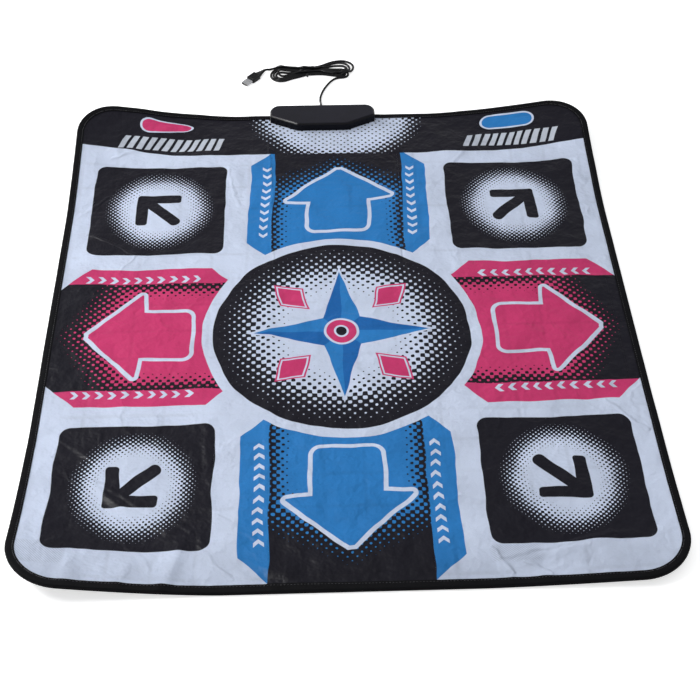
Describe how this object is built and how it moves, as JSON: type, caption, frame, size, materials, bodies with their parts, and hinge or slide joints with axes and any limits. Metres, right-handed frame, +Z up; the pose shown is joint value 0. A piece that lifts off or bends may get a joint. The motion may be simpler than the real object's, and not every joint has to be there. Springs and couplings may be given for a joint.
{
  "type": "dance mat controller",
  "caption": "Soft laid-out dance mat with arrow and corner pressure pads, a control box on its back edge and a bundled lead with a flat plug.",
  "frame": {"origin": "the mat's centre on the floor, on the underside of its bottom cover", "axes": "+X to the right for a player facing the control box, +Y towards the control box, +Z up from the floor"},
  "size_m": [0.82, 1.093, 0.0359],
  "materials": {
    "white_cloth": "pale woven cloth with a printed, lightly coated face",
    "black_cloth": "black print on coated cloth, slight sheen",
    "blue_cloth": "blue print on coated cloth, slight sheen",
    "pink_cloth": "pink print on coated cloth, slight sheen",
    "binding_tape": "black woven binding tape, matt",
    "non_slip_base": "black coated cloth with non-slip dots",
    "spacer_foam": "soft closed-cell foam sheet",
    "contact_film": "clear film with printed silver tracks",
    "case_plastic": "black moulded plastic, fine grain",
    "circuit_board": "green coated board",
    "chip_plastic": "matt black moulding compound",
    "steel": "bright plated steel",
    "contact_brass": "plated contact strip",
    "lead_rubber": "black flexible plastic, satin",
    "white_nylon": "white moulded plastic"
  },
  "bodies": {
    "mat": {"bottom_cover": "non_slip_base", "lower_contact_film": "contact_film", "spacer_foam": "spacer_foam", "upper_contact_film": "contact_film", "top_cover": "white_cloth", "edge_binding": "binding_tape", "housing_lower": "case_plastic", "housing_upper": "case_plastic", "housing_screw_front_left": "steel", "housing_screw_front_right": "steel", "housing_screw_rear_left": "steel", "housing_screw_rear_right": "steel", "circuit_board": "circuit_board", "controller_chip": "chip_plastic", "crystal": "steel", "wire_header": "white_nylon", "film_tail": "contact_film", "pressure_strip": "lead_rubber", "clamp_bar": "white_nylon", "clamp_screw_left": "steel", "clamp_screw_right": "steel", "cable_grommet": "lead_rubber", "cable_lead": "lead_rubber", "cable_hank": "lead_rubber", "twist_tie": "lead_rubber", "cable_tail": "lead_rubber", "plug_body": "lead_rubber", "plug_shell": "steel", "plug_tongue": "white_nylon", "plug_contact_1": "contact_brass", "plug_contact_2": "contact_brass", "plug_contact_3": "contact_brass", "plug_contact_4": "contact_brass"},
    "zone_back_left": {"pad_back_left": "black_cloth", "contact_back_left": "contact_film"},
    "zone_back": {"pad_back": "blue_cloth", "contact_back": "contact_film"},
    "zone_back_right": {"pad_back_right": "black_cloth", "contact_back_right": "contact_film"},
    "zone_left": {"pad_left": "pink_cloth", "contact_left": "contact_film"},
    "zone_right": {"pad_right": "pink_cloth", "contact_right": "contact_film"},
    "zone_front_left": {"pad_front_left": "black_cloth", "contact_front_left": "contact_film"},
    "zone_front": {"pad_front": "blue_cloth", "contact_front": "contact_film"},
    "zone_front_right": {"pad_front_right": "black_cloth", "contact_front_right": "contact_film"},
    "zone_select": {"pad_select": "pink_cloth", "contact_select": "contact_film"},
    "zone_start": {"pad_start": "blue_cloth", "contact_start": "contact_film"}
  },
  "joints": [
    {"name": "press_back_left", "type": "slide", "parent": "mat", "child": "zone_back_left", "axis": [0, 0, -1], "range_m": [0, 0.0023], "stiffness_N_per_m": 8000},
    {"name": "press_back", "type": "slide", "parent": "mat", "child": "zone_back", "axis": [0, 0, -1], "range_m": [0, 0.0023], "stiffness_N_per_m": 8000},
    {"name": "press_back_right", "type": "slide", "parent": "mat", "child": "zone_back_right", "axis": [0, 0, -1], "range_m": [0, 0.0023], "stiffness_N_per_m": 8000},
    {"name": "press_left", "type": "slide", "parent": "mat", "child": "zone_left", "axis": [0, 0, -1], "range_m": [0, 0.0023], "stiffness_N_per_m": 8000},
    {"name": "press_right", "type": "slide", "parent": "mat", "child": "zone_right", "axis": [0, 0, -1], "range_m": [0, 0.0023], "stiffness_N_per_m": 8000},
    {"name": "press_front_left", "type": "slide", "parent": "mat", "child": "zone_front_left", "axis": [0, 0, -1], "range_m": [0, 0.0023], "stiffness_N_per_m": 8000},
    {"name": "press_front", "type": "slide", "parent": "mat", "child": "zone_front", "axis": [0, 0, -1], "range_m": [0, 0.0023], "stiffness_N_per_m": 8000},
    {"name": "press_front_right", "type": "slide", "parent": "mat", "child": "zone_front_right", "axis": [0, 0, -1], "range_m": [0, 0.0023], "stiffness_N_per_m": 8000},
    {"name": "press_select", "type": "slide", "parent": "mat", "child": "zone_select", "axis": [0, 0, -1], "range_m": [0, 0.0023], "stiffness_N_per_m": 3000},
    {"name": "press_start", "type": "slide", "parent": "mat", "child": "zone_start", "axis": [0, 0, -1], "range_m": [0, 0.0023], "stiffness_N_per_m": 3000}
  ]
}
